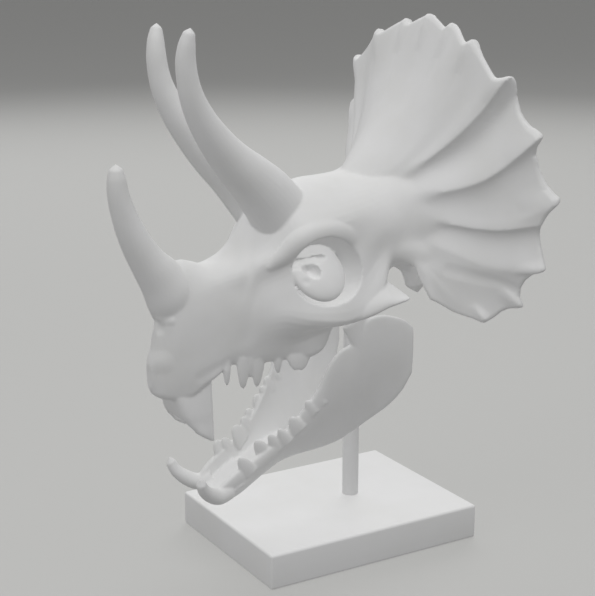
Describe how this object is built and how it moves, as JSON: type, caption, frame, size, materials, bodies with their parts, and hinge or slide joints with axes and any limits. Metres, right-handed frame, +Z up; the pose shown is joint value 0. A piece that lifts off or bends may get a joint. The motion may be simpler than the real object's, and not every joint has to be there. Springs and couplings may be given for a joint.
{
  "type": "horned dinosaur skull replica",
  "caption": "White replica of a horned, frilled dinosaur skull with open toothed jaws, held by a round rod over a flat rectangular plate.",
  "frame": {"origin": "centre of the base plate's underside", "axes": "+Z up, -Y the way the snout points, +X the animal's left; X = 0 is the plane of symmetry"},
  "size_m": [0.1862, 0.2071, 0.2833],
  "materials": {
    "skull_resin": "smooth matt white casting resin, softly rounded, unpainted",
    "stand_resin": "smooth matt white casting resin, flat faces with slightly eased edges"
  },
  "bodies": {
    "root": {"cranium": "skull_resin", "lower_jaw": "skull_resin", "support_rod": "stand_resin", "base_plate": "stand_resin"}
  },
  "joints": []
}
